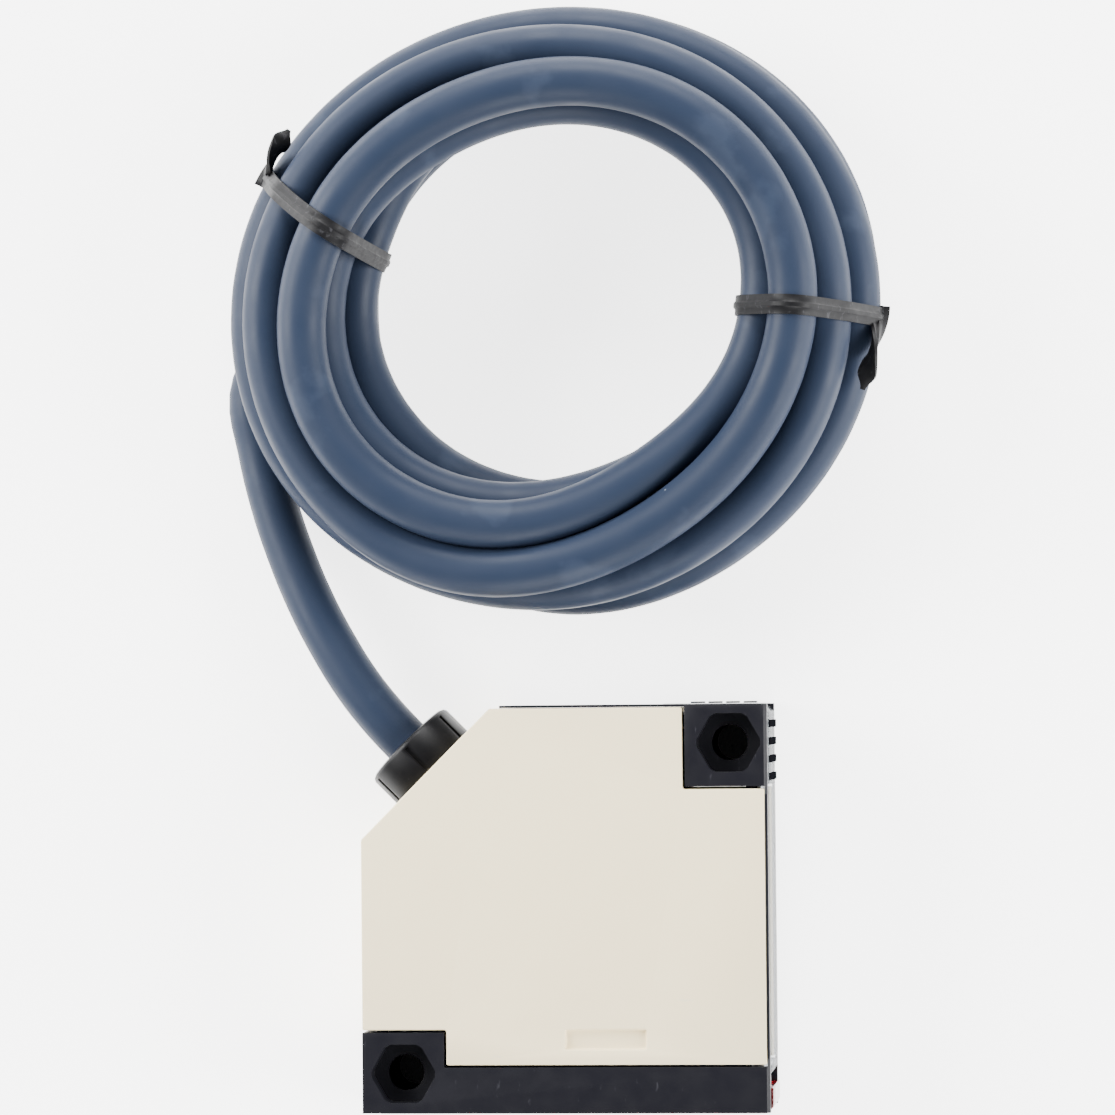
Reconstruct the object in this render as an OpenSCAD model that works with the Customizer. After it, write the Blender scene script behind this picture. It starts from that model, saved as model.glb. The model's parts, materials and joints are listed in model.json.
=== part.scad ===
// Square photoelectric sensor with a diagonal cable gland, a hinged clear cover
// over its operation panel, and a coiled cable held by two twist ties.
// Millimetres. The origin is the middle of the underside of the body.
// +X is the operation panel, -Y is the lens, +Z is up from the large lower face.

/* [Body] */
// Length of each side of the square body
body_w = 50; // [50:0.5:51]
// Thickness of the body
body_t = 17.4; // [17.4:0.1:18]
// Leg of the corner chamfer that carries the cable gland
chamfer = 16.5; // [16:0.1:17]
// Thickness of the flat face of each side cover
plate_t = 1.8; // [1.6:0.1:1.9]
// Thickness of the skirt on each side cover
skirt_t = 1.6; // [1.4:0.1:1.6]
// Thickness of the chassis walls inside the covers
chassis_t = 1.4; // [1.2:0.1:1.5]
// Visible gap between two mouldings
seam = 0.3; // [0.2:0.05:0.35]

/* [Mounting] */
// Side of the square boss round each mounting hole
boss_w = 10; // [9.8:0.1:10.2]
// Distance between the holes along either side of the body
hole_pitch = 40; // [39.8:0.1:40.2]
// Diameter of the mounting holes
hole_d = 4.4; // [4.2:0.1:4.6]
// Width across flats of the nut recesses
nut_af = 7.15; // [7.1:0.05:7.3]
// Depth of the nut recesses
nut_h = 3.2; // [3:0.1:3.4]

/* [Optics] */
// Width of the black bar along the lens side
front_bar = 5.75; // [5.6:0.05:5.9]
// Thickness of the red front lens
lens_t = 1.6; // [1.5:0.1:1.6]
// Diameter of the emitter and receiver lenses
optic_d = 12; // [11:0.5:12]
// Place of the emitter along X
emitter_x = -6; // [-6.5:0.5:-5]
// Place of the receiver along X
receiver_x = 12; // [11:0.5:12]

/* [Operation panel] */
// Place of the sensitivity adjuster along Y
adjuster_y = 6.5; // [6:0.25:7]
// Diameter of the sensitivity adjuster
adjuster_d = 4.3; // [4:0.1:4.5]
// Place of the mode selector along Y
selector_y = -3.5; // [-4:0.25:-3]
// Diameter of the mode selector
selector_d = 3.8; // [3.6:0.1:4]
// Place of the two indicators along Y
indicator_y = -11; // [-12:0.25:-10]
// Thickness of the clear cover
clear_t = 0.8; // [0.7:0.05:0.8]
// Radius of the hinge pin of the clear cover
pin_r = 0.5; // [0.45:0.05:0.55]
// Width of one grip rib
rib_w = 0.92; // [0.8:0.02:1]
// Distance from one grip rib to the next
rib_pitch = 2.15; // [2.1:0.05:2.2]
// Distance from the rear corner to the first grip rib
rib_start = 2.75; // [2.6:0.05:2.9]

/* [Cable] */
// Diameter of the cable
cable_d = 6; // [5.8:0.1:6]
// Outside diameter of the gland nut
gland_d = 12.5; // [12:0.1:12.8]
// How far the gland nut stands out of the chamfer
gland_h = 4.8; // [4.4:0.1:5]
// Outer radius of the cable coil
coil_r = 40; // [39.5:0.5:41]
// Radius of the hole in the cable coil
coil_hole_r = 21.5; // [21:0.5:22.5]
// Height of the cable coil
coil_h = 21.6; // [21:0.2:22]

/* [Hidden] */

$fn = 48;
half = body_w / 2;
mid_z = body_t / 2;

// Insets from the body's outline, going inwards
rim_in = 0.3;
rim_w = 0.3;
rim_gap = 0.05;
edge_c = 0.28;
nut_corner_r = 3.9;
nut_wall_in = 1.05;
nut_wall_z = [[0, nut_h + 0.2], [body_t - nut_h - 0.2, body_t]];
clear_in = 0.2;
label_t = 0.4;
label_in = skirt_t - label_t;
inside_in = skirt_t + chassis_t;

// Band between the upper and lower rims, where the panel side is recessed
band_lo = plate_t;
band_hi = body_t - plate_t;
band_gap = 0.15;

// Mounting corners: (-,-) beside the lens and (+,+) at the rear of the panel
hole_xy = hole_pitch / 2;
rear_boss = half - rim_in - boss_w;
front_y = -half + front_bar;

// Lens side
lens_return = 3.1;
lens_left = -half + 1.8;
lens_thin = 1.2;
lens_step_x = -hole_xy + 4.4;
bezel_in = 0.2;
optic_back = -10.2;
holder_x0 = -14.6;
holder_x1 = 21.4;
holder_step_y = -15.2;
holder_y0 = -half + lens_t + 0.5;

// Operation panel side, as distances along X
label_x = half - label_in;
seal_x0 = half - inside_in - 0.5;
board_x0 = seal_x0 - 3;
panel_board_y0 = holder_step_y + 0.6;
head_x0 = half - inside_in;
knob_x1 = label_x - 0.05;
hinge_x = half - 1.3;
hinge_y = front_y - 0.4;
knuckle_r = 1.1;
pin_gap = 0.06;
clear_end_x = 12;
label_end_x = -half + chamfer + 0.8;
shaft_r = 1;
shaft_gap = 0.05;

// Circuit boards
board_t = 1.2;
holder_back_x1 = board_x0 - board_t - 0.3;
main_z = plate_t + 0.5;
main_top = main_z + board_t;
screw_at = [[-19.5, -6.7], [13, 7.5]];
screw_r = 0.95;

// Gland axis: u runs outwards from the middle of the body at 45 degrees
gland_u = (body_w - chamfer) / sqrt(2);
gland_bore_r = cable_d / 2 + 0.3;
gland_thread_r = 4.9;
jacket_end_u = 15.2;

// Coil centre, and the route of the uncoiled stretch of cable
coil_xy = [-1.5, 74.5];
route = [
    [-10.8, 10.8, 8.7], [-14, 14, 8.7], [-17, 17, 8.7], [-20.2, 20.2, 8.7],
    [-23.2, 23.4, 8.6], [-26.4, 27.4, 8.2], [-29.6, 32.4, 7.4], [-32.6, 38, 6.4],
    [-35.2, 44, 5.2], [-37.4, 50.4, 4.3], [-39, 57, 3.7], [-40, 63.6, 3.5],
    [-40.2, 69, 3.5]
];
tie_angles = [160, -3];
core_colors = ["#6b4226", "#2d4a8c", "#222224", "#e8e8e4", "#8a8c90"];

// ---- Outlines -------------------------------------------------------------

// Corner points of the body seen from above, moved inwards by d
function body_points(d) =
    let (k = d * (sqrt(2) - 1))
    [
        [-half + d, -half + d], [half - d, -half + d], [half - d, half - d],
        [-half + chamfer + k, half - d], [-half + d, half - chamfer - k]
    ];

module outline(d = 0) {
    polygon(body_points(d));
}

// Body outline with a small chamfer c on the rear corner of the panel side
module clipped_outline(d, c) {
    difference() {
        outline(d);
        translate([half - d, half - d]) rotate(45) square([c * sqrt(2), 4 * c], center = true);
    }
}

// Area of a side cover: the body without the front bar and the two bosses
module side_area() {
    difference() {
        intersection() {
            outline();
            translate([-half, front_y + seam]) square([body_w - rim_in, body_w]);
            translate([-half, -half]) square(body_w - rim_in - rim_w - rim_gap);
        }
        translate([-half, -half]) square(boss_w + seam);
        translate([rear_boss - seam, rear_boss - seam]) square(boss_w + 1);
    }
}

module slab(z0, z1) {
    translate([0, 0, z0]) linear_extrude(z1 - z0) children();
}

// Puts children, drawn along +Z, on the gland axis
module on_gland() {
    translate([0, 0, mid_z]) rotate([0, 0, 135]) rotate([0, 90, 0]) children();
}

// A cylinder along +X from x0 to x1
module rod_x(r, x0, x1, y = 0, z = mid_z) {
    translate([x0, y, z]) rotate([0, 90, 0]) cylinder(r = r, h = x1 - x0);
}

// A cylinder along +Y from y0 to y1
module rod_y(r, y0, y1, x = 0, z = mid_z) {
    translate([x, y0, z]) rotate([-90, 0, 0]) cylinder(r = r, h = y1 - y0);
}

module box(lo, hi) {
    translate(lo) cube(hi - lo);
}

// ---- Casing ---------------------------------------------------------------

module mount_hole() {
    cylinder(d = hole_d, h = 3 * body_t, center = true);
    for (z = [-1, body_t - nut_h])
        translate([0, 0, z]) intersection() {
            cylinder(d = nut_af / cos(30), h = nut_h + 1, $fn = 6);
            cylinder(r = nut_corner_r, h = nut_h + 1);
        }
}

module chassis_solid() {
    slab(plate_t, body_t - plate_t) difference() {
        outline(skirt_t);
        outline(inside_in);
    }
    box([-half, -half + bezel_in, 0], [half - rim_in, front_y, body_t]);
    box([-half, -half + bezel_in, 0], [-half + boss_w, -half + boss_w, body_t]);
    box([rear_boss, rear_boss, 0], [half - rim_in, half - rim_in, body_t]);
    // Thin rims between the side covers and the clear cover
    for (z = [rim_gap, body_t - plate_t]) {
        box([half - rim_in - rim_w, front_y - 1, z], [half - rim_in, rear_boss + 1, z + plate_t - rim_gap]);
        box([-half + chamfer + 0.6, half - rim_in - rim_w, z], [rear_boss + 1, half - rim_in, z + plate_t - rim_gap]);
    }
}

// Walls that close the nut recesses of the rear boss, grown by g
module nut_walls(g) {
    for (z = nut_wall_z)
        slab(z[0] - g, z[1] + g) intersection() {
            clipped_outline(nut_wall_in - g, 0.8);
            translate([rear_boss - g, rear_boss - g]) square(boss_w + 1);
        }
}

module chassis_cuts() {
    // Window for the front lens, shallow beside the nut recess, and its return round the corner
    box([lens_left, -half, band_lo], [half + 1, -half + lens_thin, band_hi]);
    box([lens_step_x, -half, band_lo], [half + 1, -half + lens_t, band_hi]);
    box([half - lens_t, -half, band_lo], [half + 1, hinge_y, band_hi]);
    // Chamber for the optics behind the lens
    box([holder_x0 - 0.2, -half, plate_t + 0.2], [holder_x1 + 0.2, front_y + 1, body_t - plate_t - 0.2]);
    // Pocket for the hinge knuckle, and the blind holes for its pin
    box([hinge_x - knuckle_r - 0.25, hinge_y - knuckle_r - 0.25, band_lo],
        [half + 1, hinge_y + knuckle_r + 0.3, band_hi]);
    translate([hinge_x, hinge_y, 1]) cylinder(r = pin_r, h = body_t - 2);
    // Recess for the label and the clear cover round the rear boss
    difference() {
        slab(band_lo, band_hi) difference() {
            outline(-1);
            outline(skirt_t);
            translate([-half - 1, -half - 1]) square([body_w / 2, body_w + 2]);
            translate([-half - 1, -half - 1]) square([body_w + 2, body_w / 2]);
        }
        nut_walls(0);
    }
    // Bevel along the panel side of the rear boss and of the front bar
    for (y = [[rear_boss - 1, half + 1], [-half - 1, front_y + 1]], side = [0, 1])
        translate([half - rim_in, y[0], side * body_t])
            rotate([0, 45, 0])
                translate([-edge_c, 0, -edge_c]) cube([2 * edge_c, y[1] - y[0], 2 * edge_c]);
    // Openings in the panel wall and the gland hole
    rod_x(adjuster_d / 2 + 0.25, head_x0 - 1, half, adjuster_y);
    rod_x(selector_d / 2 + 0.25, head_x0 - 1, half, selector_y);
    for (z = [mid_z - 3, mid_z + 3])
        rod_x(1, head_x0 - 1, half, indicator_y, z);
    on_gland() cylinder(r = gland_thread_r + 0.1, h = body_w);
    // Mounting holes with their nut recesses
    for (s = [-1, 1])
        translate([s * hole_xy, s * hole_xy, 0]) mount_hole();
}

module chassis() {
    color("#313137") difference() {
        chassis_solid();
        chassis_cuts();
    }
}

// One half of the ivory casing: a face with a skirt on its cable side
module side_half(recess) {
    difference() {
        union() {
            slab(body_t - plate_t, body_t) side_area();
            slab(mid_z + seam / 2, body_t - plate_t) difference() {
                side_area();
                outline(skirt_t);
                translate([-half + chamfer + 0.4, -half]) square(body_w + 1);
            }
        }
        if (recess)
            translate([4.8, -15.9, body_t]) cube([9.9, 2.4, 1.4], center = true);
        on_gland() cylinder(r = gland_thread_r + 0.1, h = body_w);
    }
}

module side_cover_upper() {
    color("#e3ded2") side_half(recess = true);
}

// The lower half also carries the posts that the main board is screwed to
module side_cover_lower() {
    color("#ddd8cb") difference() {
        union() {
            translate([0, 0, body_t]) mirror([0, 0, 1]) side_half(recess = false);
            for (p = screw_at)
                translate([p[0], p[1], plate_t / 2]) cylinder(r = 2, h = main_z - plate_t / 2);
        }
        for (p = screw_at)
            translate([p[0], p[1], 0.8]) cylinder(r = screw_r, h = body_t);
    }
}

// ---- Optics ---------------------------------------------------------------

module front_lens() {
    c = 0.8;
    z0 = band_lo + band_gap / 2;
    z1 = band_hi - band_gap / 2;
    color("#a03c3c", 0.8) difference() {
        slab(z0, z1) difference() {
            union() {
                translate([lens_left + 0.1, -half]) square([half - lens_left - 0.1, lens_thin]);
                translate([lens_step_x + 0.1, -half]) square([half - lens_step_x - 0.1, lens_t]);
                translate([half - lens_t, -half]) square([lens_t, lens_return]);
            }
            translate([half, -half]) rotate(45) square(c * sqrt(2), center = true);
        }
    }
}

module lens_seal() {
    y0 = -half + lens_t;
    color("#2a2a2c") difference() {
        box([holder_x0, y0, plate_t + 0.3], [holder_x1, holder_y0, body_t - plate_t - 0.3]);
        box([holder_x0 + 1, y0 - 1, plate_t + 1.2], [holder_x1 - 1, holder_y0 + 1, body_t - plate_t - 1.2]);
    }
}

module lens_holder() {
    seat = 3.2;
    z0 = plate_t + 0.3;
    z1 = body_t - z0;
    color("#1f1f22") difference() {
        union() {
            box([holder_x0, holder_y0, z0], [holder_x1, holder_step_y, z1]);
            box([holder_x0, holder_y0, z0], [holder_back_x1, optic_back, z1]);
        }
        for (x = [emitter_x, receiver_x]) {
            rod_y(optic_d / 2 + 0.05, holder_y0 - 1, holder_y0 + seat, x);
            rod_y(optic_d / 2 - 0.8, holder_y0, holder_step_y - 0.6, x);
            rod_y(optic_d / 2 - 1.9, holder_y0, optic_back - 3.6, x);
        }
        rod_y(2.6, holder_y0, optic_back + 1, emitter_x);
        translate([receiver_x - 4.7, optic_back - 4.2, mid_z - 4.7]) cube([9.4, 5, 9.4]);
    }
}

// Flat disc with a domed face towards the lens side
module optic(x) {
    disc_t = 2.2;
    dome_r = 24;
    rim_r = optic_d / 2;
    rise = dome_r - sqrt(dome_r * dome_r - rim_r * rim_r);
    y_back = holder_y0 + 3.1;
    translate([x, y_back - disc_t, mid_z]) rotate([90, 0, 0]) intersection() {
        translate([0, 0, -disc_t]) cylinder(r = rim_r, h = disc_t + rise + 1);
        translate([0, 0, rise - dome_r]) sphere(r = dome_r, $fn = 96);
    }
}

module emitter_lens() {
    color("#dfe8ee", 0.5) optic(emitter_x);
}

module receiver_lens() {
    color("#dfe8ee", 0.5) optic(receiver_x);
}

module emitter_led() {
    tip = 4.2;
    color("#c8303a", 0.9) {
        rod_y(2.5, optic_back - tip, optic_back, emitter_x);
        translate([emitter_x, optic_back - tip, mid_z]) sphere(r = 2.5);
    }
}

module receiver_photodiode() {
    color("#3a3038") {
        box([receiver_x - 2.4, optic_back - 2.4, mid_z - 2.2], [receiver_x + 2.4, optic_back, mid_z + 2.2]);
        rod_y(1.7, optic_back - 3, optic_back - 2.4, receiver_x);
    }
}

module receiver_shield() {
    r = 4.5;
    t = 0.3;
    color("#b9bcc0") difference() {
        box([receiver_x - r, optic_back - 4, mid_z - r], [receiver_x + r, optic_back, mid_z + r]);
        box([receiver_x - r + t, optic_back - 4 + t, mid_z - r + t],
            [receiver_x + r - t, optic_back + 1, mid_z + r - t]);
        rod_y(2.2, optic_back - 5, optic_back, receiver_x);
    }
}

module optics_board() {
    color("#2c6b45")
        box([holder_x0 + 0.6, optic_back, plate_t + 0.6],
            [holder_back_x1 - 0.3, optic_back + board_t, body_t - plate_t - 0.6]);
}

// ---- Circuit boards and what they carry -----------------------------------

module main_board() {
    y0 = optic_back + board_t + 0.6;
    color("#2c6b45") difference() {
        slab(main_z, main_top) difference() {
            intersection() {
                outline(inside_in + 0.4);
                translate([-half, y0]) square([body_w - 8, body_w]);
                rotate(45) translate([-body_w, -body_w]) square([2 * body_w, body_w + 16.5]);
            }
            translate([rear_boss - 0.6, rear_boss - 0.6]) square(boss_w + 1);
        }
        for (p = screw_at)
            translate(p) cylinder(r = screw_r + 0.15, h = body_t);
    }
}

module relay() {
    color("#26282c") box([-5, 11, main_top], [13, 20.8, main_top + 9.8]);
}

module transformer() {
    p = [-14.5, 0];
    color("#4a4436") {
        for (s = [-1, 1])
            translate([p[0] + s * 4.4, p[1], main_top + 4.6]) cube([2.2, 10, 9.2], center = true);
        translate([p[0], p[1], main_top + 8.2]) cube([6.6, 10, 2], center = true);
        translate([p[0], p[1], main_top + 1]) cube([6.6, 10, 2], center = true);
        rod_y(2.6, p[1] - 4.2, p[1] + 4.2, p[0], main_top + 4.6);
    }
}

module smoothing_capacitor() {
    r = 3.15;
    color("#22304e") rod_y(r, -7, 4.5, -4.5, main_top + r);
}

module surge_absorber() {
    color("#2e5da8") {
        rod_y(3.4, 1, 3.2, 4.2, main_top + 4.4);
        for (s = [-1, 1])
            translate([4.2 + 1.6 * s, 2.1, main_top]) cylinder(r = 0.35, h = 3);
    }
}

module control_chip() {
    chip = [6, 5, 1.5];
    at = [8.5, -3.8];
    color("#1c1c1e") {
        translate([at[0], at[1], main_top + chip[2] / 2 + 0.1]) cube(chip, center = true);
        for (i = [-3:3], s = [-1, 1])
            translate([at[0] + i * 0.8, at[1] + s * 2.9, main_top + 0.35]) cube([0.35, 1.2, 0.7], center = true);
    }
}

function terminal_at(i) = [-11.4 + 2.1 * i, 6.6, main_top];

module wire_terminals() {
    color("#c9b47a")
        for (i = [0:4])
            translate(terminal_at(i)) {
                translate([-0.7, -0.7, 0]) cube([1.4, 1.4, 0.4]);
                cylinder(r = 0.35, h = 2.4);
            }
}

// Five insulated cores leave the end of the jacket side by side, and fan out to
// the terminals
module inner_cores() {
    core_r = 0.58;
    core_pitch = 1.25;
    e = jacket_end_u / sqrt(2);
    for (i = [0:4]) {
        start = [-e, e, mid_z] + core_pitch * (i - 2) * [1, 1, 0] / sqrt(2);
        end = terminal_at(i) + [0, 0, 2.48];
        color(core_colors[i])
            tube([start, start + [0.6, -0.6, 0], end + [0, 1, 2], end + [0, 0.1, 0.8], end], core_r, 8);
    }
}

module board_screws() {
    color("#c4c7cb")
        for (p = screw_at)
            translate(p) {
                translate([0, 0, 0.8]) cylinder(r = screw_r, h = main_top - 0.8);
                difference() {
                    translate([0, 0, main_top]) cylinder(r = 1.5, h = 1.1);
                    for (a = [0, 90])
                        translate([0, 0, main_top + 1]) rotate(a) cube([2.2, 0.5, 0.9], center = true);
                }
            }
}

// ---- Operation panel ------------------------------------------------------

module panel_board() {
    color("#2c6b45") box([board_x0 - board_t, panel_board_y0, 4.2], [board_x0, 14, body_t - 3]);
}

module panel_seal() {
    color("#3a3a3d") difference() {
        box([seal_x0, -16, 3.6], [head_x0, 14.4, body_t - 3.6]);
        for (y = [adjuster_y, selector_y])
            rod_x(shaft_r + 0.3, seal_x0 - 1, half, y);
        for (z = [mid_z - 3, mid_z + 3])
            rod_x(1, seal_x0 - 1, half, indicator_y, z);
    }
}

// Body of a small turning control, open for the shaft of its knob
module control_body(y, w) {
    difference() {
        box([board_x0, y - w / 2, mid_z - w / 2], [seal_x0, y + w / 2, mid_z + w / 2]);
        rod_x(shaft_r + shaft_gap, board_x0 + 0.4, half, y);
    }
}

module adjuster_body() {
    color("#2b5fa3") control_body(adjuster_y, 6.6);
}

module selector_body() {
    color("#232427") control_body(selector_y, 5.6);
}

// Knob with a shaft: a head that a screwdriver turns
module control_knob(y, d) {
    rod_x(shaft_r, board_x0 + 0.5, head_x0 + 0.4, y);
    rod_x(d / 2, head_x0 + 0.2, knob_x1, y);
}

module adjuster_knob() {
    slot = [1.8, 0.75, 2.9];
    color("#2a2b30") difference() {
        control_knob(adjuster_y, adjuster_d);
        for (a = [0, 90])
            translate([knob_x1, adjuster_y, mid_z]) rotate([a, 0, 0]) cube(slot, center = true);
    }
}

module selector_knob() {
    slot = [1.8, 0.75, 2.7];
    color("#d8d9d6") difference() {
        control_knob(selector_y, selector_d);
        translate([knob_x1, selector_y, mid_z]) rotate([45, 0, 0]) {
            cube(slot, center = true);
            translate([0, 0, 0.9]) rotate([45, 0, 0]) cube([1.8, 0.9, 0.9], center = true);
        }
    }
}

module indicator_led(z) {
    box([board_x0, indicator_y - 0.8, z - 0.6], [board_x0 + 1.1, indicator_y + 0.8, z + 0.6]);
}

module stability_led() {
    color("#54c46a") indicator_led(mid_z + 3);
}

module operation_led() {
    color("#e68a2e") indicator_led(mid_z - 3);
}

module light_guides() {
    color("#e6efe9", 0.7)
        for (z = [mid_z - 3, mid_z + 3])
            rod_x(0.9, board_x0 + 1.2, knob_x1, indicator_y, z);
}

// Silver label plate, bent round the rear corner of the body
module panel_label() {
    z0 = band_lo + 0.1;
    z1 = band_hi - 0.1;
    color("#b9bbb8") difference() {
        slab(z0, z1) difference() {
            clipped_outline(label_in, 0.5);
            outline(skirt_t);
            translate([-half - 1, -half - 1]) square([label_end_x + half + 1, body_w + 2]);
            translate([-half - 1, -half - 1]) square([body_w + 2, front_y + half + 3.6]);
        }
        nut_walls(0.1);
        rod_x(adjuster_d / 2 + 0.2, head_x0, half, adjuster_y);
        rod_x(selector_d / 2 + 0.2, head_x0, half, selector_y);
        for (z = [mid_z - 3, mid_z + 3])
            rod_x(1, head_x0, half, indicator_y, z);
    }
}

// Clear cover: an angle over the panel and the rear corner, with its knuckle
module clear_cover() {
    z0 = band_lo + band_gap;
    z1 = band_hi - band_gap;
    color("#dfe6e6", 0.4) difference() {
        slab(z0, z1) {
            difference() {
                clipped_outline(clear_in, 1.1);
                clipped_outline(clear_in + clear_t, 0.7);
                translate([-half - 1, -half - 1]) square([clear_end_x + half + 1, body_w + 2]);
                translate([-half - 1, -half - 1]) square([body_w + 2, hinge_y + half + 1]);
            }
            translate([hinge_x, hinge_y]) circle(r = knuckle_r);
        }
        translate([hinge_x, hinge_y, 0]) cylinder(r = pin_r + pin_gap, h = body_t);
    }
}

// Four grip ribs on each leg of the clear cover, next to its corner
module grip_ribs() {
    z0 = band_lo + 0.4;
    rib_h = band_hi - band_lo - 0.8;
    color("#26262b")
        for (i = [0:3], leg = [0, 1]) {
            d = half - rib_start - i * rib_pitch;
            if (leg == 0)
                translate([half - clear_in, d - rib_w / 2, z0]) cube([clear_in, rib_w, rib_h]);
            else
                translate([d - rib_w / 2, half - clear_in, z0]) cube([rib_w, clear_in, rib_h]);
        }
}

module hinge_pin() {
    color("#c4c7cb") translate([hinge_x, hinge_y, 1]) cylinder(r = pin_r, h = body_t - 2);
}

// ---- Cable gland ----------------------------------------------------------

// Sleeve through the chamfer, with a flange inside
module gland_body() {
    u0 = gland_u - 6.4;
    u_flange = gland_u - inside_in;
    u1 = gland_u + gland_h - 1.6;
    color("#3a3a40") on_gland() difference() {
        union() {
            translate([0, 0, u0]) cylinder(r = gland_thread_r, h = u1 - u0);
            translate([0, 0, u_flange - 2]) cylinder(r = 6.1, h = 2);
        }
        translate([0, 0, u0 - 1]) cylinder(r = gland_bore_r, h = body_w);
        translate([0, 0, gland_u - 2]) cylinder(r = 3.9, h = body_w);
    }
}

// Rubber sleeve that the nut squeezes onto the cable
module gland_seal() {
    u0 = gland_u - 2;
    u1 = gland_u + gland_h - 1.6;
    color("#29292b") on_gland() difference() {
        translate([0, 0, u0]) cylinder(r = 3.85, h = u1 - u0);
        translate([0, 0, u0 - 1]) cylinder(r = cable_d / 2 + 0.05, h = u1 - u0 + 2);
    }
}

module gland_nut() {
    r = gland_d / 2;
    bevel = 0.55;
    end_t = 1.5;
    notch_count = 6;
    color("#2c2c31") on_gland() translate([0, 0, gland_u]) difference() {
        rotate_extrude() difference() {
            polygon([[0, 0.05], [r - 0.3, 0.05], [r, 0.35], [r, gland_h - bevel],
                     [r - bevel * 0.35, gland_h - bevel * 0.35], [r - bevel, gland_h], [0, gland_h]]);
            translate([-1, -1]) square([gland_thread_r + 1.1, gland_h - end_t + 1]);
            translate([-1, -1]) square([gland_bore_r + 1, gland_h + 2]);
        }
        for (i = [0:notch_count - 1])
            rotate(i * 360 / notch_count)
                translate([r, 0, 0.9]) cube([0.5, 0.5, 2 * gland_h - 3.2], center = true);
    }
}

module cable_clamp() {
    color("#9da1a6") on_gland() difference() {
        translate([0, 0, jacket_end_u + 0.3]) cylinder(r = 4.2, h = 1.6);
        translate([0, 0, jacket_end_u]) cylinder(r = cable_d / 2 + 0.02, h = 4);
        translate([2, -0.5, jacket_end_u]) cube([4, 1, 4]);
    }
}

// ---- Cable and ties -------------------------------------------------------

function tangent(p, i) =
    let (v = p[min(i + 1, len(p) - 1)] - p[max(i - 1, 0)])
    v / norm(v);

// One ring of n points round point i of a path
function ring(p, i, r, n) =
    let (
        t = tangent(p, i),
        across = cross(t, [0, 0, 1]),
        s = across / norm(across),
        up = cross(s, t)
    )
    [for (k = [0:n - 1]) p[i] + r * cos(360 * k / n) * s + r * sin(360 * k / n) * up];

// Solid tube of radius r swept along a path
module tube(p, r, n = 12) {
    rings = len(p);
    polyhedron(
        points = [for (i = [0:rings - 1]) each ring(p, i, r, n)],
        faces = concat(
            [[for (k = [0:n - 1]) k]],
            [for (i = [0:rings - 2], k = [0:n - 1])
                [i * n + k, (i + 1) * n + k, (i + 1) * n + (k + 1) % n, i * n + (k + 1) % n]],
            [[for (k = [n - 1:-1:0]) (rings - 1) * n + k]]
        )
    );
}

module cable_lead() {
    color("#4a5870") tube(route, cable_d / 2);
}

// Outline of the wound bundle: r outwards, z up, grown by g. It leaves room
// underneath, on the inside, for the stripped cores.
module bundle_outline(g = 0) {
    step_r = coil_hole_r + 7.3;
    step_z = 2.5;
    polygon([
        [coil_hole_r - g, step_z - g], [step_r - g, step_z - g], [step_r - g, -g],
        [coil_r - 1 + g, -g], [coil_r + g, 1 - g], [coil_r + g, 12],
        [coil_r - 6 + g, coil_h + g], [coil_hole_r + 5 - g, coil_h + g], [coil_hole_r - g, 14]
    ]);
}

module cable_coil() {
    color("#4a5870") translate(coil_xy) rotate_extrude($fn = 72) bundle_outline();
}

// Stripped cores at the far end, laid three and two under the inside of the coil
module core_ends() {
    core_r = 0.6;
    core_pitch = 1.25;
    for (i = [0:4]) {
        row = floor(i / 3);
        r = coil_hole_r + 4 + core_pitch * (i % 3 + row / 2);
        color(core_colors[i])
            translate(coil_xy) rotate(2 * i - 80)
                rotate_extrude(angle = 68 - 2 * i)
                    translate([r, core_r + row * core_pitch * sin(60)])
                        circle(r = core_r, $fn = 16);
    }
}

// Ribbon tie round the bundle at one angle, with its twisted tail outside
module twist_tie(angle) {
    ribbon_w = 2.4;
    ribbon_t = 0.5;
    tail = [2.2, 1.8, 9];
    tail_tilt = 60;
    translate(coil_xy) rotate(angle) {
        translate([0, ribbon_w / 2, 0]) rotate([90, 0, 0]) linear_extrude(ribbon_w)
            intersection() {
                difference() {
                    bundle_outline(ribbon_t);
                    bundle_outline();
                }
                square([2 * coil_r, 2 * coil_h]);
            }
        translate([coil_r + ribbon_t / 2, 0, 10])
            rotate([tail_tilt, 0, 0]) translate([0, -tail[1] / 2, 0]) cube(tail);
    }
}

module tie_left() {
    color("#3c3c40") twist_tie(tie_angles[0]);
}

module tie_right() {
    color("#3c3c40") twist_tie(tie_angles[1]);
}

chassis();
side_cover_upper();
side_cover_lower();
front_lens();
lens_seal();
lens_holder();
emitter_lens();
receiver_lens();
emitter_led();
receiver_photodiode();
receiver_shield();
optics_board();
main_board();
relay();
transformer();
smoothing_capacitor();
surge_absorber();
control_chip();
wire_terminals();
inner_cores();
panel_board();
panel_seal();
adjuster_body();
adjuster_knob();
selector_body();
selector_knob();
stability_led();
operation_led();
light_guides();
panel_label();
clear_cover();
grip_ribs();
hinge_pin();
board_screws();
gland_body();
gland_seal();
gland_nut();
cable_clamp();
cable_lead();
cable_coil();
core_ends();
tie_left();
tie_right();
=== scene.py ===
"""Looks of a square photoelectric sensor with a coiled cable, in the CAD frame."""

import json
import math

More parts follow.
